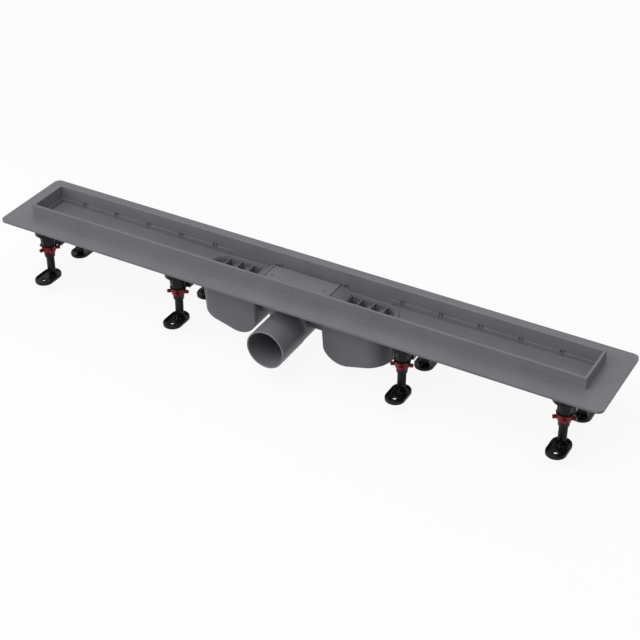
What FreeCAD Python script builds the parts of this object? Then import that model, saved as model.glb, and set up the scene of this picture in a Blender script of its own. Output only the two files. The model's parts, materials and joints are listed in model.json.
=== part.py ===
import FreeCAD, Part
import math
import os
import Sketcher

# Channel drain for a shower floor, in millimetres. X runs along the channel, the outlet
# points to -Y and Z is up. The origin lies on the floor slab, at the centre of the feet.

doc = FreeCAD.newDocument("ChannelDrain")
sheet = doc.addObject("Spreadsheet::Sheet", "Dimensions")


class Size:
    """A dimension that carries its number and its expression in the sheet's names."""

    def __init__(self, number, text):
        self.number = number
        self.text = text

    def __add__(self, other):
        other = as_size(other)
        return Size(self.number + other.number, f"({self.text} + {other.text})")

    def __sub__(self, other):
        other = as_size(other)
        return Size(self.number - other.number, f"({self.text} - {other.text})")

    def __mul__(self, other):
        other = as_size(other)
        return Size(self.number * other.number, f"({self.text} * {other.text})")

    def __truediv__(self, other):
        other = as_size(other)
        return Size(self.number / other.number, f"({self.text} / {other.text})")

    def __neg__(self):
        return Size(-self.number, f"(0 - {self.text})")

    def __radd__(self, other):
        return as_size(other) + self

    def __rsub__(self, other):
        return as_size(other) - self

    def __rmul__(self, other):
        return as_size(other) * self


def as_size(value):
    """A plain number as a Size."""
    return value if isinstance(value, Size) else Size(float(value), repr(float(value)))


def root(size):
    """Square root of a Size."""
    return Size(math.sqrt(size.number), f"sqrt({size.text})")


class Sizes:
    """The driving dimensions, by their names in the sheet."""


size = Sizes()
DRIVING = {
    # flange, collar and trough
    "flange_length": 810, "flange_width": 120, "flange_thick": 3, "flange_corner": 8,
    "flange_top": 85, "collar_length": 750, "collar_width": 60, "collar_rise": 15,
    "wall": 3, "trough_under": 72, "floor_end": 78, "floor_mid": 75,
    "ledge_level": 82.5, "ledge_width": 1.5, "insert_seat": 74, "seat_end_x": 133,
    # grate supports on the trough walls
    "support_first": 124.4, "support_last_back": 336, "support_pitch": 50, "support_count": 5,
    "support_gap": 2.4, "support_fin": 1.2, "support_reach": 2.2,
    "support_low": 79.5, "support_high": 86,
    # trap bowls under the trough
    "bowl_inner_x": 43, "bowl_round_x": 104.5, "bowl_half": 28, "bowl_corner": 6,
    "bowl_wall": 2.5, "bowl_draft": 3.43, "bowl_turn_x": 72.6, "bowl_turn_z": 31.6,
    "bowl_turn_radius": 27, "bowl_slope": 0.28, "bowl_low": 3, "mouth_radius": 25,
    # outlet body between the bowls: chamber, ducts over the weirs, tray and spigot
    "chamber_half": 24.4, "duct_half": 15, "duct_under": 38.7, "duct_reach": 50,
    "weir_level": 52, "tray_half": 46, "tray_under": 69.5,
    "outlet_radius": 25, "outlet_wall": 1.8, "outlet_axis": 36.2, "outlet_reach": 79.5,
    # trap insert
    "rim_radius": 26.3, "rim_top": 76.2, "plate_half": 45, "plate_thick": 2.4,
    "ramp_half": 58, "plate_flat": 19.8, "bevel_drop": 5.7, "skirt_radius": 23.8,
    "skirt_under": 22, "skirt_draft": 3.43, "sleeve_under": 72.1, "sleeve_wall": 1.8,
    "throat_x": 60, "throat_radius": 22.5, "throat_ledge": 66, "throat_step": 1.3,
    "rib_thick": 1.4, "rib_rise": 1.2,
    "dimple_x": 36, "dimple_radius": 2.6, "dimple_deep": 1.2,
    "clip_left_x": -43.2, "clip_right_x": 47, "clip_half": 4.8, "clip_bar": 1.2,
    "clip_tongue": 1.4, "clip_depth": 1.8, "clip_shoulder": 81.6, "clip_foot": 78,
    "clip_back_y": 26,
    # trap seal and strainers
    "seal_radius": 24.95, "seal_inner": 23.85, "seal_low": 72.2, "seal_high": 73.6,
    "strainer_play": 0.3, "strainer_wall": 1.5, "strainer_top": 75,
    "comb_first": 75.7, "comb_pitch": 16.65, "comb_thick": 1.6, "comb_count": 3,
    "comb_bar": 4.5, "comb_bar_shift": 9.2, "comb_bar_thick": 2,
    # leg positions
    "leg_outer_x": 355, "leg_inner_x": 155, "leg_y": 30,
    # leg bracket
    "boss_radius": 16, "boss_under": 65, "socket_top_radius": 10, "socket_radius": 8.3,
    "socket_under": 45, "web_half": 7, "web_under": 39, "web_reach": 15,
    "web_shoulder": 48.5, "bore_top": 71, "bore_play": 0.06, "stave_thick": 1.2,
    "stave_rise": 0.7, "stave_count": 8,
    # foot
    "stem_radius": 5.3, "stem_flat": 4.4, "stem_top": 67, "pad_length": 40,
    "pad_width": 24.7, "pad_shift": 8, "pad_floor": 2.2, "pad_rim": 4.5,
    "pad_rim_wall": 2.2, "pad_round": 1.2, "hole_shift": 9, "hole_radius": 2.75,
    "hole_boss": 4.6, "hole_boss_rise": 0.8, "gusset_reach": 9, "gusset_rise": 7,
    "gusset_thick": 1.6, "gusset_count": 4,
    # adjusting ring and its thread bush
    "ring_top": 47.4, "ring_seat": 44.7, "ring_under": 38, "ring_radius": 10.2,
    "ring_foot_radius": 8.4, "ring_cup": 8.85, "ring_bore": 6.6, "lug_reach": 14,
    "lug_root": 7.5, "lug_radius": 2.4, "lug_level": 42.5, "lug_count": 5, "lug_round": 1.2,
    "bush_under": 30.5, "bush_radius": 7.3, "bush_foot_radius": 6.7, "bush_neck": 6.55,
    "bush_bore": 5.38, "bush_top": 44.6,
}
for row, (name, number) in enumerate(DRIVING.items(), start=1):
    sheet.set(f"A{row}", name)
    sheet.set(f"B{row}", str(number))
    sheet.setAlias(f"B{row}", name)
    setattr(size, name, Size(float(number), f"Dimensions.{name}"))
doc.recompute()


def bind(item, path, value):
    """Tie one property of an object to the sheet."""
    item.setExpression(path, as_size(value).text)


def place(item, x=0, y=0, z=0, turn=0):
    """Put an object at a point, turned about Z."""
    item.Placement = FreeCAD.Placement(
        FreeCAD.Vector(0, 0, 0), FreeCAD.Rotation(FreeCAD.Vector(0, 0, 1), turn))
    bind(item, "Placement.Base.x", x)
    bind(item, "Placement.Base.y", y)
    bind(item, "Placement.Base.z", z)


def new_body(name):
    return doc.addObject("PartDesign::Body", name)


def new_sketch(body, role, height=0):
    """A sketch on one of the body's own origin planes, lifted by height along its normal."""
    sketch = body.newObject("Sketcher::SketchObject", f"{body.Name}_sketch")
    plane = next(item for item in body.Origin.OriginFeatures if item.Role == role)
    sketch.AttachmentSupport = [(plane, "")]
    sketch.MapMode = "FlatFace"
    bind(sketch, "AttachmentOffset.Base.z", height)
    return sketch


def fix_point(sketch, geometry, point, x, y):
    """Hold one point of a sketch at its two coordinates."""
    for kind, value in (("DistanceX", as_size(x)), ("DistanceY", as_size(y))):
        fix_coordinate(sketch, geometry, point, kind, value)


def fix_coordinate(sketch, geometry, point, kind, value):
    index = sketch.addConstraint(
        Sketcher.Constraint(kind, -1, 1, geometry, point, value.number))
    sketch.setExpression(f"Constraints[{index}]", value.text)


def outline(sketch, corners):
    """A closed outline. Each corner is (x, y), or (x, y, centre x, centre y) where an arc
    turning anticlockwise about that centre leads on to the next corner."""
    corners = [tuple(as_size(value) for value in corner) for corner in corners]
    edges = []
    for here, there in zip(corners, corners[1:] + corners[:1]):
        start = FreeCAD.Vector(here[0].number, here[1].number, 0)
        end = FreeCAD.Vector(there[0].number, there[1].number, 0)
        if len(here) == 2:
            edges.append(sketch.addGeometry(Part.LineSegment(start, end)))
            continue
        centre = FreeCAD.Vector(here[2].number, here[3].number, 0)
        spoke, last = start - centre, end - centre
        first_angle = math.atan2(spoke.y, spoke.x)
        last_angle = math.atan2(last.y, last.x)
        if last_angle <= first_angle:
            last_angle += 2 * math.pi
        circle = Part.Circle(centre, FreeCAD.Vector(0, 0, 1), spoke.Length)
        edges.append(sketch.addGeometry(Part.ArcOfCircle(circle, first_angle, last_angle)))
        chord = end - start
        along_x = abs(chord.x) > abs(chord.y)
        fix_coordinate(sketch, edges[-1], 3, "DistanceY" if along_x else "DistanceX",
                       here[3] if along_x else here[2])
    for edge, following, corner in zip(edges, edges[1:] + edges[:1], corners[1:] + corners[:1]):
        sketch.addConstraint(Sketcher.Constraint("Coincident", edge, 2, following, 1))
        fix_point(sketch, following, 1, corner[0], corner[1])


def circle(sketch, x, y, radius):
    centre = FreeCAD.Vector(as_size(x).number, as_size(y).number, 0)
    ring = Part.Circle(centre, FreeCAD.Vector(0, 0, 1), as_size(radius).number)
    geometry = sketch.addGeometry(ring)
    fix_point(sketch, geometry, 3, x, y)
    index = sketch.addConstraint(
        Sketcher.Constraint("Radius", geometry, as_size(radius).number))
    sketch.setExpression(f"Constraints[{index}]", as_size(radius).text)


def pad(body, sketch, length, symmetric=False, reverse=False, taper=0):
    feature = body.newObject("PartDesign::Pad", f"{body.Name}_pad")
    return sweep(feature, sketch, length, symmetric, reverse, taper)


def pocket(body, sketch, length, symmetric=False, reverse=False, taper=0):
    """A pocket that has to take material away."""
    doc.recompute()
    before = body.Shape.Volume
    feature = body.newObject("PartDesign::Pocket", f"{body.Name}_pocket")
    sweep(feature, sketch, length, symmetric, reverse, taper)
    doc.recompute()
    if body.Shape.Volume > before - 1e-3:
        raise ValueError(f"{feature.Name} cuts nothing")
    return feature


def sweep(feature, sketch, length, symmetric, reverse, taper):
    feature.Profile = sketch
    feature.SideType = "Symmetric" if symmetric else "One side"
    feature.Reversed = reverse
    bind(feature, "Length", length)
    bind(feature, "TaperAngle", taper)
    return feature


def revolve(body, sketch):
    feature = body.newObject("PartDesign::Revolution", f"{body.Name}_revolution")
    feature.Profile = sketch
    feature.ReferenceAxis = (sketch, ["V_Axis"])
    feature.Angle = 360
    return feature


def around_axis(body, feature, count):
    """Repeat a feature about the body's Z axis."""
    pattern = body.newObject("PartDesign::PolarPattern", f"{body.Name}_pattern")
    pattern.Originals = [feature]
    axis = next(item for item in body.Origin.OriginFeatures if item.Role == "Z_Axis")
    pattern.Axis = (axis, [""])
    pattern.Angle = 360
    bind(pattern, "Occurrences", count)
    body.Tip = pattern
    return pattern


def row_along_x(body, feature, pitch, count):
    """Repeat a feature along X."""
    pattern = body.newObject("PartDesign::LinearPattern", f"{body.Name}_pattern")
    pattern.Originals = [feature]
    axis = next(item for item in body.Origin.OriginFeatures if item.Role == "X_Axis")
    pattern.Direction = (axis, [""])
    bind(pattern, "Length", pitch * (count - 1))
    bind(pattern, "Occurrences", count)
    body.Tip = pattern
    return pattern


def round_edges(body, radius, wanted):
    """Fillet the edges of the body's tip that the test picks."""
    doc.recompute()
    tip = body.Tip
    names = [f"Edge{number}" for number, edge in enumerate(tip.Shape.Edges, start=1)
             if wanted(edge)]
    feature = body.newObject("PartDesign::Fillet", f"{body.Name}_fillet")
    feature.Base = (tip, names)
    bind(feature, "Radius", radius)
    return feature


def lean_sides(body, angle):
    """Draft the upright faces of the body's tip inwards, going down from its top."""
    doc.recompute()
    tip = body.Tip
    top = tip.Shape.BoundBox.ZMax - 0.01
    level, upright = [], []
    for number, face in enumerate(tip.Shape.Faces, start=1):
        if face.BoundBox.ZMin > top:
            level.append(f"Face{number}")
        elif face.BoundBox.ZMax > top:
            upright.append(f"Face{number}")
    feature = body.newObject("PartDesign::Draft", f"{body.Name}_draft")
    feature.Base = (tip, upright)
    feature.NeutralPlane = (tip, level)
    feature.Reversed = True
    bind(feature, "Angle", angle)


def box(name, low, high):
    """A box between two opposite corners."""
    item = doc.addObject("Part::Box", name)
    low = [as_size(value) for value in low]
    high = [as_size(value) for value in high]
    for path, start, end in zip(("Length", "Width", "Height"), low, high):
        bind(item, path, end - start)
    place(item, *low)
    return item


def joined(name, items):
    item = doc.addObject("Part::MultiFuse", name)
    item.Shapes = items
    return item


def cut(name, base, tool):
    item = doc.addObject("Part::Cut", name)
    item.Base = base
    item.Tool = tool
    return item


def common(name, base, tool):
    item = doc.addObject("Part::Common", name)
    item.Base = base
    item.Tool = tool
    return item


def mirrored(name, source):
    """The same form on the -X side."""
    item = doc.addObject("Part::Mirroring", name)
    item.Source = source
    item.Normal = FreeCAD.Vector(1, 0, 0)
    return item


def half_slot(inner_x, round_x, radius, corner=None):
    """Plan that is square at its inner end and half round at its outer end."""
    if corner is None:
        return [(inner_x, -radius), (round_x, -radius, round_x, 0), (round_x, radius),
                (inner_x, radius)]
    turn = inner_x + corner
    return [(turn, -radius), (round_x, -radius, round_x, 0), (round_x, radius),
            (turn, radius, turn, radius - corner), (inner_x, radius - corner),
            (inner_x, corner - radius, turn, corner - radius)]


def full_slot(round_x, radius):
    """Plan of a long slot with two half round ends."""
    return [(-round_x, -radius), (round_x, -radius, round_x, 0), (round_x, radius),
            (-round_x, radius, -round_x, 0)]


def slot_pad(name, plan, low, high, taper=0):
    """A plan raised between two levels, or narrowing downwards from the upper one."""
    body = new_body(name)
    sketch = new_sketch(body, "XY_Plane", high)
    outline(sketch, plan)
    pad(body, sketch, as_size(high) - low, reverse=True, taper=taper)
    return body


def leg_places():
    """Name, x, side in Y and foot turn of each leg."""
    columns = (-size.leg_outer_x, -size.leg_inner_x, size.leg_inner_x, size.leg_outer_x)
    for side, word, turn in ((-1, "front", 0), (1, "rear", 180)):
        for number, x in enumerate(columns, start=1):
            yield f"{word}_{number}", x, side * size.leg_y, turn


# --- channel body: flange, collar and trough ---------------------------------------------

def flange_plate():
    body = new_body("flange_plate")
    half_x, half_y = size.flange_length / 2, size.flange_width / 2
    corner = size.flange_corner
    sketch = new_sketch(body, "XY_Plane", size.flange_top - size.flange_thick)
    outline(sketch, [
        (corner - half_x, -half_y), (half_x - corner, -half_y, half_x - corner, corner - half_y),
        (half_x, corner - half_y), (half_x, half_y - corner, half_x - corner, half_y - corner),
        (half_x - corner, half_y), (corner - half_x, half_y, corner - half_x, half_y - corner),
        (-half_x, half_y - corner), (-half_x, corner - half_y, corner - half_x, corner - half_y)])
    pad(body, sketch, size.flange_thick)
    return body


def trough_space():
    """Inside of the trough: straight walls down to a ledge, and a floor that falls to the
    middle."""
    half = size.collar_length / 2 - size.wall
    upper = box("trough_upper", (-half, size.wall - size.collar_width / 2, size.ledge_level),
                (half, size.collar_width / 2 - size.wall,
                 size.flange_top + size.collar_rise + size.wall))
    lower = new_body("trough_lower")
    inner = half - size.ledge_width
    sketch = new_sketch(lower, "XZ_Plane")
    outline(sketch, [(-inner, size.floor_end), (-size.seat_end_x, size.floor_mid),
                     (size.seat_end_x, size.floor_mid), (inner, size.floor_end),
                     (inner, size.ledge_level + 1), (-inner, size.ledge_level + 1)])
    pad(lower, sketch, size.collar_width - 2 * (size.wall + size.ledge_width), symmetric=True)
    seat = new_body("insert_seat_space")
    sketch = new_sketch(seat, "XY_Plane", size.insert_seat)
    outline(sketch, full_slot(size.bowl_round_x, size.collar_width / 2 - size.wall))
    pad(seat, sketch, size.ledge_level + 1 - size.insert_seat)
    return [upper, lower, seat]


def support_fins(name, first, side):
    """A row of grate supports on one wall: pairs of fins with a slot between them."""
    body = new_body(name)
    wall_y = size.collar_width / 2 - size.wall
    sketch = new_sketch(body, "XY_Plane", size.support_low)
    for direction in (-1, 1):
        near = first + direction * size.support_gap / 2
        far = near + direction * size.support_fin
        outline(sketch, [(near, side * (wall_y - size.support_reach)), (near, side * (wall_y + 1)),
                         (far, side * (wall_y + 1)), (far, side * (wall_y - size.support_reach))])
    fins = pad(body, sketch, size.support_high - size.support_low)
    row_along_x(body, fins, size.support_pitch, size.support_count)
    return body


def channel_body():
    half_x, half_y = size.collar_length / 2, size.collar_width / 2
    trough = box("trough_block", (-half_x, -half_y, size.trough_under),
                 (half_x, half_y, size.flange_top + size.collar_rise))
    mouth = slot_pad("trap_mouth", full_slot(size.bowl_round_x, size.mouth_radius),
                     size.trough_under, size.floor_mid)
    moulding = cut("channel_moulding", joined("channel_outside", [flange_plate(), trough]),
                   joined("channel_inside", trough_space() + [mouth]))
    first, last = size.support_first, size.support_last_back
    span = size.support_pitch * (size.support_count - 1)
    rows = [support_fins("supports_back_right", first, 1),
            support_fins("supports_back_left", -last, 1),
            support_fins("supports_front_left", -first - span, -1),
            support_fins("supports_front_right", last - span, -1)]
    joined("channel_body", [moulding] + rows)


# --- trap under the trough: two bowls and the outlet body between them --------------------

def bowl_form(name, inset, corner=None):
    """One trap bowl, drawn in by inset from its outside: drafted walls, a half round outer
    end, a bottom that falls towards the outlet and a wide turn up to the inner wall."""
    body = new_body(name)
    plan = new_sketch(body, "XY_Plane", size.trough_under)
    outline(plan, half_slot(size.bowl_inner_x + inset, size.bowl_round_x,
                            size.bowl_half - inset, corner))
    pad(body, plan, size.trough_under - size.bowl_low, reverse=True)
    lean_sides(body, size.bowl_draft)
    turn = size.bowl_turn_radius - inset
    slant = root(1 + size.bowl_slope * size.bowl_slope)
    touch_x = size.bowl_turn_x + turn * size.bowl_slope / slant
    touch_z = size.bowl_turn_z - turn / slant
    far_x = size.bowl_round_x + 2 * size.bowl_half
    near_x = size.bowl_turn_x - 2 * size.bowl_turn_radius
    under = -size.bowl_half
    profile = new_sketch(body, "XZ_Plane")
    outline(profile, [
        (near_x, size.bowl_turn_z),
        (size.bowl_turn_x - turn, size.bowl_turn_z, size.bowl_turn_x, size.bowl_turn_z),
        (touch_x, touch_z), (far_x, touch_z + size.bowl_slope * (far_x - touch_x)),
        (far_x, under), (near_x, under)])
    pocket(body, profile, 3 * size.bowl_half, symmetric=True)
    return body


def cylinder_along_y(name, radius, back, front):
    """A cylinder on the outlet's axis between two planes."""
    item = doc.addObject("Part::Cylinder", name)
    bind(item, "Radius", radius)
    bind(item, "Height", back - front)
    item.Placement = FreeCAD.Placement(
        FreeCAD.Vector(0, 0, 0), FreeCAD.Rotation(FreeCAD.Vector(1, 0, 0), 90))
    bind(item, "Placement.Base.y", back)
    bind(item, "Placement.Base.z", size.outlet_axis)
    return item


def trap_bowls():
    """The two bowls, each with a weir cut down its inner wall, and their outside forms."""
    form = bowl_form("bowl_outside", as_size(0), size.bowl_corner)
    weir_half = size.duct_half - size.bowl_wall
    weir = box("bowl_weir", (0, -weir_half, size.weir_level),
               (size.duct_reach, weir_half, size.trough_under))
    hollow = joined("bowl_hollow", [bowl_form("bowl_inside", size.bowl_wall), weir])
    mirrored("trap_bowl_left", cut("trap_bowl_right", form, hollow))
    return [form, mirrored("bowl_outside_left", form)]


def outlet_body(bowls):
    """A chamber with a round bottom that runs on into the spigot, and a duct on each side
    that catches what comes over the weir of its bowl."""
    top, axis = size.trough_under, size.outlet_axis
    half, back = size.chamber_half, size.bowl_half
    duct, reach = size.duct_half, size.duct_reach
    outside = joined("outlet_outside", [
        box("chamber_block", (-half, -back, axis), (half, back, top)),
        cylinder_along_y("chamber_round", half, back, -back),
        cylinder_along_y("spigot", size.outlet_radius, -back, -size.outlet_reach),
        box("duct_block", (-reach, -duct, size.duct_under), (reach, duct, top)),
        box("tray_block", (-size.tray_half, -back, size.tray_under),
            (size.tray_half, back, top))])
    half, duct = half - size.outlet_wall, duct - size.bowl_wall
    inner_back = back - size.bowl_wall
    hollow = [
        box("chamber_inside", (-half, -inner_back, axis), (half, inner_back, top)),
        cylinder_along_y("chamber_round_inside", half, inner_back, -back),
        cylinder_along_y("spigot_bore", size.outlet_radius - size.outlet_wall, -inner_back,
                         -size.outlet_reach),
        box("duct_inside", (-reach, -duct, size.duct_under + size.bowl_wall),
            (reach, duct, top))]
    cut("outlet_body", outside, joined("outlet_inside", hollow + bowls))


# --- trap insert: a plate over the chamber with a dipping throat at each end ------------

def hump(name, foot, crown, side, flat, spring, ceiling, floor):
    """A raised form with a ramp at each end and a bevel along each side. foot and side are
    its half sizes at the bottom, crown and flat those of its top, and spring holds the
    heights where the ramps and the bevels start."""
    along = new_body(f"{name}_along")
    sketch = new_sketch(along, "XZ_Plane")
    outline(sketch, [(-foot, floor), (foot, floor), (foot, spring[0]), (crown, ceiling),
                     (-crown, ceiling), (-foot, spring[0])])
    pad(along, sketch, 2 * side, symmetric=True)
    across = new_body(f"{name}_across")
    sketch = new_sketch(across, "YZ_Plane")
    outline(sketch, [(-side, floor), (side, floor), (side, spring[1]), (flat, ceiling),
                     (-flat, ceiling), (-side, spring[1])])
    pad(across, sketch, 2 * foot, symmetric=True)
    return common(name, along, across)


def clip(name, x):
    """A snap clip behind the plate: a rounded frame with a tongue between two slots."""
    body = new_body(name)
    radius = size.clip_half
    sketch = new_sketch(body, "XZ_Plane", -size.clip_back_y)
    outline(sketch, [(-radius, size.clip_foot), (radius, size.clip_foot),
                     (radius, size.clip_shoulder, 0, size.clip_shoulder),
                     (-radius, size.clip_shoulder)])
    pad(body, sketch, size.clip_depth)
    inner = radius - size.clip_bar
    height = root(inner * inner - size.clip_tongue * size.clip_tongue)
    for side in (-1, 1):
        window = new_sketch(body, "XZ_Plane", -size.clip_back_y)
        near = side * size.clip_tongue
        corners = [(near, size.clip_foot + size.clip_bar),
                   (side * inner, size.clip_foot + size.clip_bar),
                   (side * inner, size.clip_shoulder, 0, size.clip_shoulder),
                   (near, size.clip_shoulder + height)]
        if side < 0:
            corners = [corners[0], corners[3] + (0, size.clip_shoulder), corners[2][:2],
                       corners[1]]
        outline(window, corners)
        pocket(body, window, size.clip_depth, reverse=True)
    bind(body, "Placement.Base.x", x)
    return body


def trap_insert():
    seat, rim_top, top = size.insert_seat, size.rim_top, size.flange_top
    rim = slot_pad("insert_rim", full_slot(size.bowl_round_x, size.rim_radius), seat, rim_top)
    bevel = top - size.bevel_drop
    crown = hump("insert_hump", size.ramp_half, size.plate_half, size.rim_radius,
                 size.plate_flat, (rim_top, bevel), top, seat)
    sleeve = slot_pad("insert_sleeve", full_slot(size.bowl_round_x, size.skirt_radius),
                      size.sleeve_under, seat)
    skirt = slot_pad("insert_skirt",
                     half_slot(size.ramp_half, size.bowl_round_x, size.skirt_radius),
                     size.skirt_under, seat, -size.skirt_draft)
    ribs = []
    for name, side in (("rib_left", -1), ("rib_right", 1)):
        middle = side * size.plate_half
        ribs.append(box(name, (middle - size.rib_thick / 2, -size.plate_flat, bevel),
                        (middle + size.rib_thick / 2, size.plate_flat, top + size.rib_rise)))
    clips = [clip("clip_left", size.clip_left_x), clip("clip_right", size.clip_right_x)]
    outside = joined("insert_outside", [rim, crown, sleeve, skirt,
                                        mirrored("insert_skirt_left", skirt)] + ribs + clips)
    thick = size.plate_thick
    foot = size.ramp_half - size.sleeve_wall
    hollow = hump("insert_hollow", foot, size.plate_half - thick / 3,
                  size.skirt_radius - size.sleeve_wall, size.plate_flat - thick / 3,
                  (rim_top - size.sleeve_wall, bevel), top - thick, size.sleeve_under - 1)
    upper = slot_pad("throat_upper",
                     half_slot(size.throat_x, size.bowl_round_x, size.throat_radius),
                     size.throat_ledge, rim_top)
    lower = slot_pad("throat_lower",
                     half_slot(size.throat_x + size.throat_step, size.bowl_round_x,
                               size.throat_radius - size.throat_step),
                     size.skirt_under, size.throat_ledge, -size.skirt_draft)
    dimples = []
    for name, side in (("dimple_left", -1), ("dimple_right", 1)):
        dimple = doc.addObject("Part::Cone", name)
        bind(dimple, "Radius1", size.dimple_radius - size.dimple_deep / 2)
        bind(dimple, "Radius2", size.dimple_radius)
        bind(dimple, "Height", size.dimple_deep)
        place(dimple, side * size.dimple_x, 0, top - size.dimple_deep)
        dimples.append(dimple)
    inside = joined("insert_inside", [hollow, upper, mirrored("throat_upper_left", upper),
                                      lower, mirrored("throat_lower_left", lower)] + dimples)
    cut("trap_insert", outside, inside)


def trap_seal():
    """Rubber ring in the mouth of the trap, round the insert's sleeve."""
    outer = slot_pad("seal_outside", full_slot(size.bowl_round_x, size.seal_radius),
                     size.seal_low, size.seal_high)
    inner = slot_pad("seal_inside", full_slot(size.bowl_round_x, size.seal_inner),
                     size.seal_low, size.seal_high)
    cut("trap_seal", outer, inner)


def strainers():
    """A comb that drops into the throat, and its mirror twin: fins across the opening, and
    a low bar between each two."""
    near, radius = size.throat_x + size.strainer_play, size.throat_radius - size.strainer_play
    low, high, wall = size.throat_ledge, size.strainer_top, size.strainer_wall
    block = slot_pad("strainer_block", half_slot(near, size.bowl_round_x, radius), low, high)
    opening = slot_pad("strainer_opening",
                       half_slot(near + wall, size.bowl_round_x, radius - wall), low, high)
    comb = new_body("strainer_comb")
    rows = ((size.comb_first, size.comb_thick, high),
            (size.comb_first + size.comb_bar_shift, size.comb_bar, low + size.comb_bar_thick))
    for middle, thick, top in rows:
        sketch = new_sketch(comb, "XY_Plane", low)
        start, end = middle - thick / 2, middle + thick / 2
        outline(sketch, [(start, -radius), (end, -radius), (end, radius), (start, radius)])
        row_along_x(comb, pad(comb, sketch, top - low), size.comb_pitch, size.comb_count)
    strainer = joined("strainer_right", [cut("strainer_frame", block, opening),
                                         common("strainer_teeth", comb, block)])
    mirrored("strainer_left", strainer)


# --- legs --------------------------------------------------------------------------------

def keyed_outline(sketch, radius, flat):
    """A circle with two flats facing along Y."""
    half = root(radius * radius - flat * flat)
    outline(sketch, [(half, -flat, 0, 0), (half, flat), (-half, flat, 0, 0), (-half, -flat)])


def leg_socket(name, side):
    """A round boss with a tapered socket below it and staves on the taper."""
    body = new_body(name)
    under, step, top = size.socket_under, size.boss_under, size.flange_top - size.flange_thick
    sketch = new_sketch(body, "XZ_Plane")
    outline(sketch, [(0, under), (size.socket_radius, under), (size.socket_top_radius, step),
                     (size.boss_radius, step), (size.boss_radius, top), (0, top)])
    revolve(body, sketch)
    sketch = new_sketch(body, "XZ_Plane")
    inner = size.socket_radius - size.stave_thick
    taper = (size.socket_top_radius - size.socket_radius) / (step - under)
    start = size.web_shoulder
    outline(sketch, [(inner, start),
                     (size.socket_radius + taper * (start - under) + size.stave_rise, start),
                     (size.socket_top_radius + size.stave_rise, step), (inner, step)])
    around_axis(body, pad(body, sketch, size.stave_thick, symmetric=True), size.stave_count)
    bind(body, "Placement.Base.y", side * size.leg_y)
    return body


def socket_bore(name, side):
    """Keyed bore that lets a foot's stem slide without turning."""
    body = new_body(name)
    sketch = new_sketch(body, "XY_Plane", size.socket_under)
    keyed_outline(sketch, size.stem_radius + size.bore_play, size.stem_flat + size.bore_play)
    pad(body, sketch, size.bore_top - size.socket_under)
    bind(body, "Placement.Base.y", side * size.leg_y)
    return body


def leg_bracket(name, x):
    """The yoke under the trough that holds the sockets of a front and a rear leg."""
    web = new_body(f"{name}_web")
    sketch = new_sketch(web, "YZ_Plane")
    reach, shoulder, wide = size.web_reach, size.web_shoulder, size.leg_y - size.socket_radius
    outline(sketch, [(-reach, size.web_under), (reach, size.web_under), (reach, shoulder),
                     (wide, shoulder), (wide, size.trough_under), (-wide, size.trough_under),
                     (-wide, shoulder), (-reach, shoulder)])
    pad(web, sketch, 2 * size.web_half, symmetric=True)
    sides = (("front", -1), ("rear", 1))
    solid = joined(f"{name}_solid", [web] + [
        leg_socket(f"{name}_socket_{word}", side) for word, side in sides])
    trough = box(f"{name}_trough", (-2 * size.boss_radius, -size.leg_y, size.trough_under),
                 (2 * size.boss_radius, size.leg_y, size.flange_top))
    space = joined(f"{name}_space", [trough] + [
        socket_bore(f"{name}_bore_{word}", side) for word, side in sides])
    bracket = cut(name, solid, space)
    bind(bracket, "Placement.Base.x", x)


def adjusting_ring(name, x, y, phase):
    body = new_body(name)
    low, top = size.ring_under, size.ring_top
    sketch = new_sketch(body, "XZ_Plane")
    outline(sketch, [(size.ring_bore, low), (size.ring_foot_radius, low),
                     (size.ring_radius, top), (size.ring_bore, top)])
    revolve(body, sketch)
    sketch = new_sketch(body, "YZ_Plane", size.lug_root)
    circle(sketch, 0, size.lug_level, size.lug_radius)
    lug = pad(body, sketch, size.lug_reach - size.lug_root)
    around_axis(body, lug, size.lug_count)
    reach = size.lug_reach.number - 0.01
    round_edges(body, size.lug_round, lambda edge: min(
        math.hypot(vertex.X, vertex.Y) for vertex in edge.Vertexes) > reach)
    cup = new_sketch(body, "XY_Plane", top)
    circle(cup, 0, 0, size.ring_cup)
    pocket(body, cup, top - size.ring_seat)
    place(body, x, y, turn=phase)


def thread_bush(name, x, y):
    body = new_body(name)
    low, step, top = size.bush_under, size.ring_under, size.bush_top
    sketch = new_sketch(body, "XZ_Plane")
    outline(sketch, [(size.bush_bore, low), (size.bush_foot_radius, low),
                     (size.bush_radius, step), (size.bush_neck, step), (size.bush_neck, top),
                     (size.bush_bore, top)])
    revolve(body, sketch)
    place(body, x, y)


def stadium(centre_y, length, width):
    """Plan of a pad along Y with two half round ends."""
    radius = width / 2
    near, far = centre_y - length / 2 + radius, centre_y + length / 2 - radius
    return [(radius, near), (radius, far, 0, far), (-radius, far), (-radius, near, 0, near)]


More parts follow.
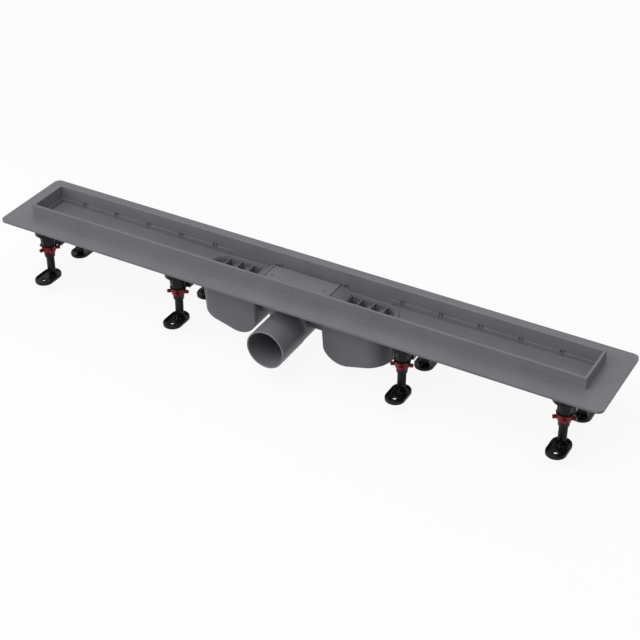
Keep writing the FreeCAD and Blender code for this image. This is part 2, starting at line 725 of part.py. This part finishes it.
def foot(name, x, y, turn):
    """A dished pad and a stem with two flats, in one piece."""
    body = new_body(name)
    middle = -size.pad_shift
    sketch = new_sketch(body, "XY_Plane")
    outline(sketch, stadium(middle, size.pad_length, size.pad_width))
    pad(body, sketch, size.pad_rim)
    round_edges(body, size.pad_round, lambda edge: min(
        vertex.Z for vertex in edge.Vertexes) > size.pad_rim.number - 0.01)
    inset = 2 * size.pad_rim_wall
    dish = new_sketch(body, "XY_Plane", size.pad_rim)
    outline(dish, stadium(middle, size.pad_length - inset, size.pad_width - inset))
    pocket(body, dish, size.pad_rim - size.pad_floor)
    hole_y = middle - size.hole_shift
    sketch = new_sketch(body, "XY_Plane")
    circle(sketch, 0, hole_y, size.hole_boss)
    pad(body, sketch, size.pad_floor + size.hole_boss_rise)
    sketch = new_sketch(body, "XY_Plane")
    keyed_outline(sketch, size.stem_radius, size.stem_flat)
    pad(body, sketch, size.stem_top)
    sketch = new_sketch(body, "XZ_Plane")
    outline(sketch, [(0, size.pad_floor / 2), (size.gusset_reach, size.pad_floor / 2),
                     (size.gusset_reach, size.pad_floor + 1),
                     (size.stem_flat, size.pad_floor + size.gusset_rise),
                     (0, size.pad_floor + size.gusset_rise)])
    around_axis(body, pad(body, sketch, size.gusset_thick, symmetric=True), size.gusset_count)
    hole = new_sketch(body, "XY_Plane", size.pad_rim)
    circle(hole, 0, hole_y, size.hole_radius)
    pocket(body, hole, size.pad_rim)
    place(body, x, y, turn=turn)


channel_body()
outlet_body(trap_bowls())
trap_insert()
trap_seal()
strainers()
columns = (-size.leg_outer_x, -size.leg_inner_x, size.leg_inner_x, size.leg_outer_x)
for number, x in enumerate(columns, start=1):
    leg_bracket(f"leg_bracket_{number}", x)
RING_PHASE = {"front_1": 36, "front_2": 6}
for name, x, y, turn in leg_places():
    adjusting_ring(f"adjusting_ring_{name}", x, y, RING_PHASE.get(name, 0))
    thread_bush(f"thread_bush_{name}", x, y)
    foot(f"foot_{name}", x, y, turn)
doc.recompute()

pieces = ["channel_body", "trap_bowl_left", "trap_bowl_right", "outlet_body", "trap_insert", "trap_seal", "strainer_left", "strainer_right"]
pieces += [f"leg_bracket_{number}" for number in range(1, 5)]
for name, x, y, turn in leg_places():
    pieces += [f"adjusting_ring_{name}", f"thread_bush_{name}", f"foot_{name}"]
for item in doc.Objects:
    if "Invalid" in item.State or "Error" in item.State:
        raise ValueError(f"{item.Name} did not build: {item.State}")
os.makedirs("parts", exist_ok=True)
for name in pieces:
    item = doc.getObject(name)
    if item.Shape.isNull() or not item.Shape.isValid():
        raise ValueError(f"{name} is not a valid shape")
    item.Label = name
    item.Shape.exportStep(f"parts/{name}.step")
    print(name, len(item.Shape.Solids), round(item.Shape.Volume, 1))
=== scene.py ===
import json
import math

import bmesh
import bpy
from mathutils import Matrix, Vector


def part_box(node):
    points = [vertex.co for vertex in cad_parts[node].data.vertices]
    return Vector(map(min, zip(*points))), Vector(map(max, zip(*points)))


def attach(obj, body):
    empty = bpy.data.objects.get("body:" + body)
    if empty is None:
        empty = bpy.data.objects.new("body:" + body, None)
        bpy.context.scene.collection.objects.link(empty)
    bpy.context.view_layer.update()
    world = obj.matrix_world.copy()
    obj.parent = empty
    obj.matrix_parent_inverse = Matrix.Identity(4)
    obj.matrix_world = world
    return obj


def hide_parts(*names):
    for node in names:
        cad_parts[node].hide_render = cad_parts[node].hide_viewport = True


# The looks of the channel drain: its finishes, its feet with their threads, and the stage.
# The channel, trap, brackets, rings and bushes are the CAD nodes themselves.

MM = 0.001
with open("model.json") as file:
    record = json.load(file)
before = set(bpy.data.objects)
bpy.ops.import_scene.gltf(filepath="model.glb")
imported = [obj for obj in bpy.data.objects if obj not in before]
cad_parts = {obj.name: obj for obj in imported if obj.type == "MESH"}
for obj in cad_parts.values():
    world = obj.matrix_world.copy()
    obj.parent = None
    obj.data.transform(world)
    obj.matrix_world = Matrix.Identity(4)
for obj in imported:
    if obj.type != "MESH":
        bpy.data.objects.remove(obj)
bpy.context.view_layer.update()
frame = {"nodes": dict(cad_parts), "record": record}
nodes = frame["nodes"]
scene = bpy.context.scene


# --- nodes of a material or world --------------------------------------------------------

def linear(code):
    """An sRGB hex colour as the linear red, green, blue and alpha that Blender takes."""
    channels = [int(code[start:start + 2], 16) / 255 for start in (1, 3, 5)]
    toned = [value / 12.92 if value <= 0.04045 else ((value + 0.055) / 1.055) ** 2.4
             for value in channels]
    return (*toned, 1.0)


def add_node(tree, kind, settings=None, **links):
    """A shader node with its settings. Each link names a socket, with _ for a space, or its
    number after _, and gives the output or the value that goes into it."""
    node = tree.nodes.new(kind)
    for name, value in (settings or {}).items():
        setattr(node, name, value)
    for name, value in links.items():
        number = name[1:]
        socket = node.inputs[int(number) if number.isdigit() else name.replace("_", " ")]
        if isinstance(value, bpy.types.NodeSocket):
            tree.links.new(value, socket)
        else:
            socket.default_value = value
    return node


def empty_tree(holder):
    """The node tree of a new material or world, with nothing in it."""
    holder.use_nodes = True
    holder.node_tree.nodes.clear()
    return holder.node_tree


def rays_that_see(tree):
    """1 for the rays by which the camera, a gloss or a clear surface sees what this tree
    belongs to, and 0 for the rays that only carry its light on."""
    rays = add_node(tree, "ShaderNodeLightPath").outputs
    either = add_node(tree, "ShaderNodeMath", {"operation": "MAXIMUM"},
                      _0=rays["Is Camera Ray"], _1=rays["Is Glossy Ray"])
    any_of_three = add_node(tree, "ShaderNodeMath", {"operation": "MAXIMUM"},
                            _0=either.outputs[0], _1=rays["Is Transmission Ray"])
    return any_of_three.outputs[0]


# --- finishes ----------------------------------------------------------------------------

PLASTIC_IOR = 1.53
DRIFT_MM = 45.0           # breadth of the slow changes of colour
GRAIN_DEPTH_MM = 0.02     # depth of the mould's texture
GRAIN_STRENGTH = 0.35
ROUGHNESS_SPREAD = 0.06
EDGE_MM = 0.45            # radius of an edge as the mould leaves it
EDGE_SAMPLES = 6


def moulded(name, shade, light, dark, painted_edge_highlight, roughness, sheen, grain_mm, edge_mm=EDGE_MM):
    """An injection moulded surface: an even colour that drifts a little where the melt
    cooled unevenly, a fine mould texture that keeps highlights soft, and edges that the
    mould leaves slightly round in the shading, coloured paler there as a painted highlight."""
    material = bpy.data.materials.new(name)
    tree = empty_tree(material)
    place = add_node(tree, "ShaderNodeTexCoord").outputs["Object"]

    drift = add_node(tree, "ShaderNodeTexNoise", Vector=place, Scale=1 / (DRIFT_MM * MM),
                     Detail=3.0, Roughness=0.5)
    tint = add_node(tree, "ShaderNodeValToRGB", Fac=drift.outputs["Fac"])
    low, high = tint.color_ramp.elements
    low.position, low.color = 0.3, linear(dark)
    high.position, high.color = 0.7, linear(light)
    tint.color_ramp.elements.new(0.5).color = linear(shade)

    # An edge is where the rounded surface faces another way than the flat one; there the
    # colour is mixed towards a paler painted highlight.
    rounded = add_node(tree, "ShaderNodeBevel", {"samples": EDGE_SAMPLES},
                       Radius=edge_mm * MM).outputs["Normal"]
    facing = add_node(tree, "ShaderNodeNewGeometry").outputs["Normal"]
    alike = add_node(tree, "ShaderNodeVectorMath", {"operation": "DOT_PRODUCT"},
                     _0=rounded, _1=facing)
    edge_highlight_mask = add_node(tree, "ShaderNodeMapRange", Value=alike.outputs["Value"],
                    From_Min=0.995, From_Max=0.9, To_Min=0.0, To_Max=1.0)
    # The paler edge colour mixed in here is a painted highlight, not wear.
    colour = add_node(tree, "ShaderNodeMix", {"data_type": "RGBA"}, _0=edge_highlight_mask.outputs["Result"],
                      _6=tint.outputs["Color"], _7=linear(painted_edge_highlight))

    grain = add_node(tree, "ShaderNodeTexNoise", Vector=place, Scale=1 / (grain_mm * MM),
                     Detail=2.0, Roughness=0.6).outputs["Fac"]
    rough = add_node(tree, "ShaderNodeMapRange", Value=grain,
                     To_Min=roughness - ROUGHNESS_SPREAD, To_Max=roughness + ROUGHNESS_SPREAD)
    bump = add_node(tree, "ShaderNodeBump", Height=grain, Strength=GRAIN_STRENGTH,
                    Distance=GRAIN_DEPTH_MM * MM, Normal=rounded)
    surface = add_node(tree, "ShaderNodeBsdfPrincipled", Base_Color=colour.outputs["Result"],
                       Roughness=rough.outputs["Result"], IOR=PLASTIC_IOR,
                       Specular_IOR_Level=sheen, Normal=bump.outputs["Normal"])
    add_node(tree, "ShaderNodeOutputMaterial", Surface=surface.outputs["BSDF"])
    return material


# The fourth colour of each finish is a painted highlight along its edges.
# Grey ABS, satin from a lightly etched mould. The real grain, about 0.1 mm, is drawn at
# 0.9 mm so that it shows.
grey_abs = moulded("grey_abs_moulded", "#76777c", "#797a7f", "#727378", "#7b7c81",
                   roughness=0.5, sheen=0.25, grain_mm=0.9)
# The same ABS on the outlet, smoother, with a rim that is round right across its wall and a
# strong painted highlight on it.
outlet_abs = moulded("grey_abs_round_rim_painted_highlight", "#76777c", "#797a7f", "#727378", "#9b9ca1",
                     roughness=0.42, sheen=0.35, grain_mm=0.9, edge_mm=0.9)
# Black polyamide from a polished mould, with narrow highlights along its ribs and rims,
# partly from its gloss and partly painted.
black_polyamide = moulded("black_polyamide_moulded", "#0d0d0d", "#111111", "#0a0a0a",
                          "#1c1c1c", roughness=0.26, sheen=0.16, grain_mm=0.7)
# Dark red polyamide, satin.
red_polyamide = moulded("dark_red_polyamide_moulded", "#78171c", "#821b20", "#6d1419",
                        "#8c2228", roughness=0.36, sheen=0.18, grain_mm=0.7)
# Black EPDM rubber, dull.
seal_rubber = moulded("black_epdm_rubber", "#121212", "#161616", "#0f0f0f", "#181818",
                      roughness=0.7, sheen=0.3, grain_mm=0.5)

FINISHES = {"body_plastic": grey_abs, "leg_plastic": black_polyamide,
            "ring_plastic": red_polyamide, "seal_rubber": seal_rubber}
for part in frame["record"]["subparts"]:
    mesh = nodes[part["node"]].data
    mesh.materials.clear()
    mesh.materials.append(FINISHES[part["material_slot"]])
nodes["outlet_body"].data.materials[0] = outlet_abs


# --- feet --------------------------------------------------------------------------------
# A foot is made standing at the origin, its stem on the Z axis and its pad towards -Y.

PAD_CENTRE = -8.0 * MM    # from the stem's axis
PAD_LENGTH = 40.0 * MM
PAD_WIDTH = 24.7 * MM
PAD_FLOOR = 2.2 * MM      # thickness under the sunk floor

HOLE_CENTRE = -17.0 * MM  # from the stem's axis

STEM_RADIUS = 5.3 * MM    # over the thread's crest
STEM_ROOT = 4.4 * MM
STEM_FLAT = 4.4 * MM      # from the axis to each of the two flats
STEM_FOOT = 3.4 * MM      # where the stem rises from its flare
STEM_TOP = 66.9 * MM
STEM_LEVEL = 0.25 * MM    # between two levels of the mesh
THREAD_PITCH = 3.0 * MM
THREAD_START = 12.0 * MM
THREAD_FADE = 1.2 * MM
CREST_SLOPE = 1.6         # how steeply the ridge rises from the gap between two turns
CREST_GAP = 0.3           # and how wide that gap is

RIB_REACH = 8.4 * MM
RIB_RISE = 5.4 * MM
RIB_THICKNESS = 1.5 * MM
RIB_BURIED = 0.5 * MM     # how deep it goes into the pad
RIB_INNER = 3.6 * MM      # its end inside the stem
RIB_STEPS = 6


def arc(middle, radius, first, last, steps):
    """Points of an arc, from one angle to another, in degrees."""
    angles = [math.radians(first + (last - first) * step / steps)
              for step in range(steps + 1)]
    return [(middle[0] + radius * math.cos(angle), middle[1] + radius * math.sin(angle))
            for angle in angles]


# Sections in millimetres. The rim's first number is the distance in from the pad's outline,
# the others' is the radius, and the second number is the height.
RIM_SECTION = ([(0.5, 0.0), (0.0, 0.5), (0.0, 3.1)] + arc((1.3, 3.2), 1.3, 180, 25, 7)
               + [(2.75, 3.1)] + arc((3.4, 2.9), 0.7, 200, 270, 4))
HOLE_SECTION = ([(2.75, 0.0)] + arc((3.25, 2.5), 0.5, 180, 90, 3)
                + arc((4.1, 2.5), 0.5, 90, 0, 3) + [(4.9, 2.2)])
FLARE_SECTION = [(6.3, 2.2), (5.8, 2.35), (5.45, 2.8)]
FLARE_FLATS = [5.4, 4.9, 4.55]


def clamp(value, low=0.0, high=1.0):
    return max(low, min(high, value))


def pad_outline(inset, height, steps=24):
    """Points round the pad, a slot shape, moved in by inset."""
    radius = PAD_WIDTH / 2 - inset
    reach = (PAD_LENGTH - PAD_WIDTH) / 2
    points = []
    for end in (1, -1):
        for step in range(steps + 1):
            angle = math.pi * step / steps
            points.append((end * radius * math.cos(angle),
                           PAD_CENTRE + end * (reach + radius * math.sin(angle)), height))
    return points


def circle(radius, centre, height, steps=48):
    """Points of a level circle whose middle lies on the Y axis."""
    angles = [math.tau * step / steps for step in range(steps)]
    return [(radius * math.cos(angle), centre + radius * math.sin(angle), height)
            for angle in angles]


def cut_flats(points, flat):
    """The same points, with both sides of the ring cut off flat."""
    return [(x, clamp(y, -flat, flat), z) for x, y, z in points]


def thread_radius(angle, height):
    """The stem's radius: plain below the thread, then a rounded right-hand ridge that climbs
    one pitch a turn and fades out at both ends."""
    turn = (height / THREAD_PITCH - angle / math.tau) % 1.0
    ridge = clamp(CREST_SLOPE * abs(2 * turn - 1) - CREST_GAP)
    ridge = ridge * ridge * (3 - 2 * ridge)
    begun = clamp((height - THREAD_START) / THREAD_FADE)
    left = clamp((STEM_TOP - height) / THREAD_FADE)
    root = STEM_RADIUS + (STEM_ROOT - STEM_RADIUS) * begun
    return root + (STEM_RADIUS - root) * ridge * min(begun, left)


def stem_level(height, steps=48):
    """Points round the threaded stem at one height."""
    points = []
    for step in range(steps):
        angle = math.tau * step / steps
        radius = thread_radius(angle, height)
        points.append((radius * math.cos(angle), radius * math.sin(angle), height))
    return cut_flats(points, STEM_FLAT)


def add_ring(mesh, points):
    """New vertices in a closed loop, with the edges between them."""
    ring = [mesh.verts.new(point) for point in points]
    for first, second in zip(ring, ring[1:] + ring[:1]):
        mesh.edges.new((first, second))
    return ring


def skin(mesh, rings):
    """Faces between each ring and the next."""
    for low, high in zip(rings, rings[1:]):
        for step in range(len(low)):
            after = (step + 1) % len(low)
            mesh.faces.new((low[step], low[after], high[after], high[step]))


def fill(mesh, *rings):
    """A flat surface inside the first ring, round the holes that the others leave in it."""
    edges = [mesh.edges.get((first, second)) for ring in rings
             for first, second in zip(ring, ring[1:] + ring[:1])]
    bmesh.ops.triangle_fill(mesh, use_beauty=True, use_dissolve=False, edges=edges)


def add_rib(mesh, angle):
    """A small rib between stem and pad, with a hollowed top edge."""
    turned = Matrix.Rotation(angle, 4, "Z")
    bottom = PAD_FLOOR - RIB_BURIED
    section = [(RIB_INNER, bottom), (RIB_INNER, PAD_FLOOR + RIB_RISE)]
    for step in range(RIB_STEPS + 1):
        share = step / RIB_STEPS
        height = RIB_RISE * (1 - math.sin(share * math.pi / 2))
        section.append((STEM_RADIUS + (RIB_REACH - STEM_RADIUS) * share,
                        PAD_FLOOR + height))
    section.append((RIB_REACH, bottom))
    one, other = ([mesh.verts.new(turned @ Vector((out, side * RIB_THICKNESS / 2, up)))
                   for out, up in section] for side in (-1, 1))
    mesh.faces.new(one)
    mesh.faces.new(list(reversed(other)))
    for step in range(len(section)):
        after = (step + 1) % len(section)
        mesh.faces.new((one[step], other[step], other[after], one[after]))


def foot_mesh():
    """A foot as moulded: a pad with a rounded rim round a sunk floor, a raised screw hole,
    four small ribs and a threaded stem with two flats."""
    mesh = bmesh.new()
    rim = [add_ring(mesh, pad_outline(inset * MM, height * MM))
           for inset, height in RIM_SECTION]
    skin(mesh, rim)
    hole = [add_ring(mesh, circle(radius * MM, HOLE_CENTRE, height * MM))
            for radius, height in HOLE_SECTION]
    skin(mesh, list(reversed(hole)))
    stem = [add_ring(mesh, cut_flats(circle(radius * MM, 0.0, height * MM), flat * MM))
            for (radius, height), flat in zip(FLARE_SECTION, FLARE_FLATS)]
    levels = round((STEM_TOP - STEM_FOOT) / STEM_LEVEL)
    for level in range(levels + 1):
        height = STEM_FOOT + (STEM_TOP - STEM_FOOT) * level / levels
        stem.append(add_ring(mesh, stem_level(height)))
    skin(mesh, stem)
    mesh.faces.new(stem[-1])
    fill(mesh, rim[-1], hole[-1], stem[0])
    fill(mesh, rim[0], hole[0])
    for quarter in range(4):
        add_rib(mesh, quarter * math.pi / 2)
    bmesh.ops.recalc_face_normals(mesh, faces=mesh.faces)

    data = bpy.data.meshes.new("foot")
    mesh.to_mesh(data)
    mesh.free()
    data.materials.append(black_polyamide)
    data.shade_smooth()
    data.set_sharp_from_angle(angle=math.radians(40))
    return data


def make_feet():
    """Eight feet that share one mesh, each in its CAD node's place. The rear ones are turned
    so that their pads point to the back."""
    shared = foot_mesh()
    for name in sorted(nodes):
        if not name.startswith("foot_"):
            continue
        rear = name.startswith("foot_rear")
        low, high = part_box(name)
        middle = (low + high) / 2
        axis = Vector((middle.x, middle.y + (PAD_CENTRE if rear else -PAD_CENTRE), low.z))
        foot = bpy.data.objects.new("threaded_" + name, shared)
        foot.matrix_world = (Matrix.Translation(axis)
                             @ Matrix.Rotation(math.pi if rear else 0.0, 4, "Z"))
        scene.collection.objects.link(foot)
        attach(foot, name)
        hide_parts(name)


make_feet()


# --- stage: floor, light and camera ------------------------------------------------------

FOOT_TRAVEL = 18.2 * MM   # the feet screwed right out, with a little to spare
FLOOR_SIZE = 20.0
FLOOR_WHITE = 0.9         # the rest of what is seen there is its soft shadow
AMBIENT = 0.38
LAMP_SIZE = 2.0
LAMP_DISTANCE = 3.0
AIM = Vector((0.0, 0.0, 50.0)) * MM


def floor_material():
    """Matt pale floor. Seen directly or in a gloss it is white with a soft shadow, and it
    throws little light back up under the drain."""
    material = bpy.data.materials.new("pale_floor")
    tree = empty_tree(material)
    seen = rays_that_see(tree)
    dull = add_node(tree, "ShaderNodeBsdfDiffuse", Color=linear("#888888"))
    pale = add_node(tree, "ShaderNodeBsdfDiffuse", Color=linear("#fafafa"))
    bright = add_node(tree, "ShaderNodeEmission", Color=linear("#ffffff"), Strength=1.0)
    white = add_node(tree, "ShaderNodeMixShader", Fac=FLOOR_WHITE, _1=pale.outputs["BSDF"],
                     _2=bright.outputs["Emission"])
    mixed = add_node(tree, "ShaderNodeMixShader", Fac=seen, _1=dull.outputs["BSDF"],
                     _2=white.outputs["Shader"])
    add_node(tree, "ShaderNodeOutputMaterial", Surface=mixed.outputs["Shader"])
    return material


def make_floor():
    """The floor lies where the feet reach when they are screwed right out, so that no pose
    pushes a pad through it."""
    half = FLOOR_SIZE / 2
    mesh = bpy.data.meshes.new("floor")
    mesh.from_pydata([(-half, -half, 0), (half, -half, 0), (half, half, 0), (-half, half, 0)],
                     [], [(0, 1, 2, 3)])
    mesh.materials.append(floor_material())
    floor = bpy.data.objects.new("floor", mesh)
    floor.location.z = -FOOT_TRAVEL
    scene.collection.objects.link(floor)


def make_world():
    """A white surround that lights the drain only softly."""
    world = bpy.data.worlds.new("studio")
    tree = empty_tree(world)
    strength = add_node(tree, "ShaderNodeMapRange", Value=rays_that_see(tree),
                        To_Min=AMBIENT, To_Max=1.0)
    sky = add_node(tree, "ShaderNodeBackground", Color=linear("#ffffff"),
                   Strength=strength.outputs["Result"])
    add_node(tree, "ShaderNodeOutputWorld", Surface=sky.outputs["Background"])
    scene.world = world


def soft_box(name, azimuth, elevation, power):
    """A square soft box aimed at the drain. Azimuth 0 is the front and 90 the right, in
    degrees, and power is in watts."""
    lamp = bpy.data.lights.new(name, "AREA")
    lamp.size = LAMP_SIZE
    lamp.energy = power
    light = bpy.data.objects.new(name, lamp)
    across, up = math.radians(azimuth), math.radians(elevation)
    way = Vector((math.cos(up) * math.sin(across), -math.cos(up) * math.cos(across),
                  math.sin(up)))
    light.location = LAMP_DISTANCE * way
    light.rotation_euler = (AIM - light.location).to_track_quat("-Z", "Y").to_euler()
    scene.collection.objects.link(light)


def make_camera():
    """The camera stands at the front right and above, with an 86 mm lens on a 36 mm
    sensor."""
    data = bpy.data.cameras.new("camera")
    data.lens = 85.78
    data.sensor_width = 36.0
    data.clip_end = 50.0
    camera = bpy.data.objects.new("camera", data)
    camera.location = Vector((773.36, -1311.48, 1076.66)) * MM
    azimuth, elevation = math.radians(29.578), math.radians(34.472)
    camera.rotation_euler = (math.pi / 2 - elevation, 0, azimuth)
    scene.collection.objects.link(camera)
    scene.camera = camera


make_floor()
make_world()
soft_box("front_soft_box", azimuth=0, elevation=60, power=38.5)
soft_box("left_soft_box", azimuth=-45, elevation=20, power=30.0)
soft_box("back_soft_box", azimuth=180, elevation=45, power=7.5)
make_camera()
scene.view_settings.view_transform = "Standard"
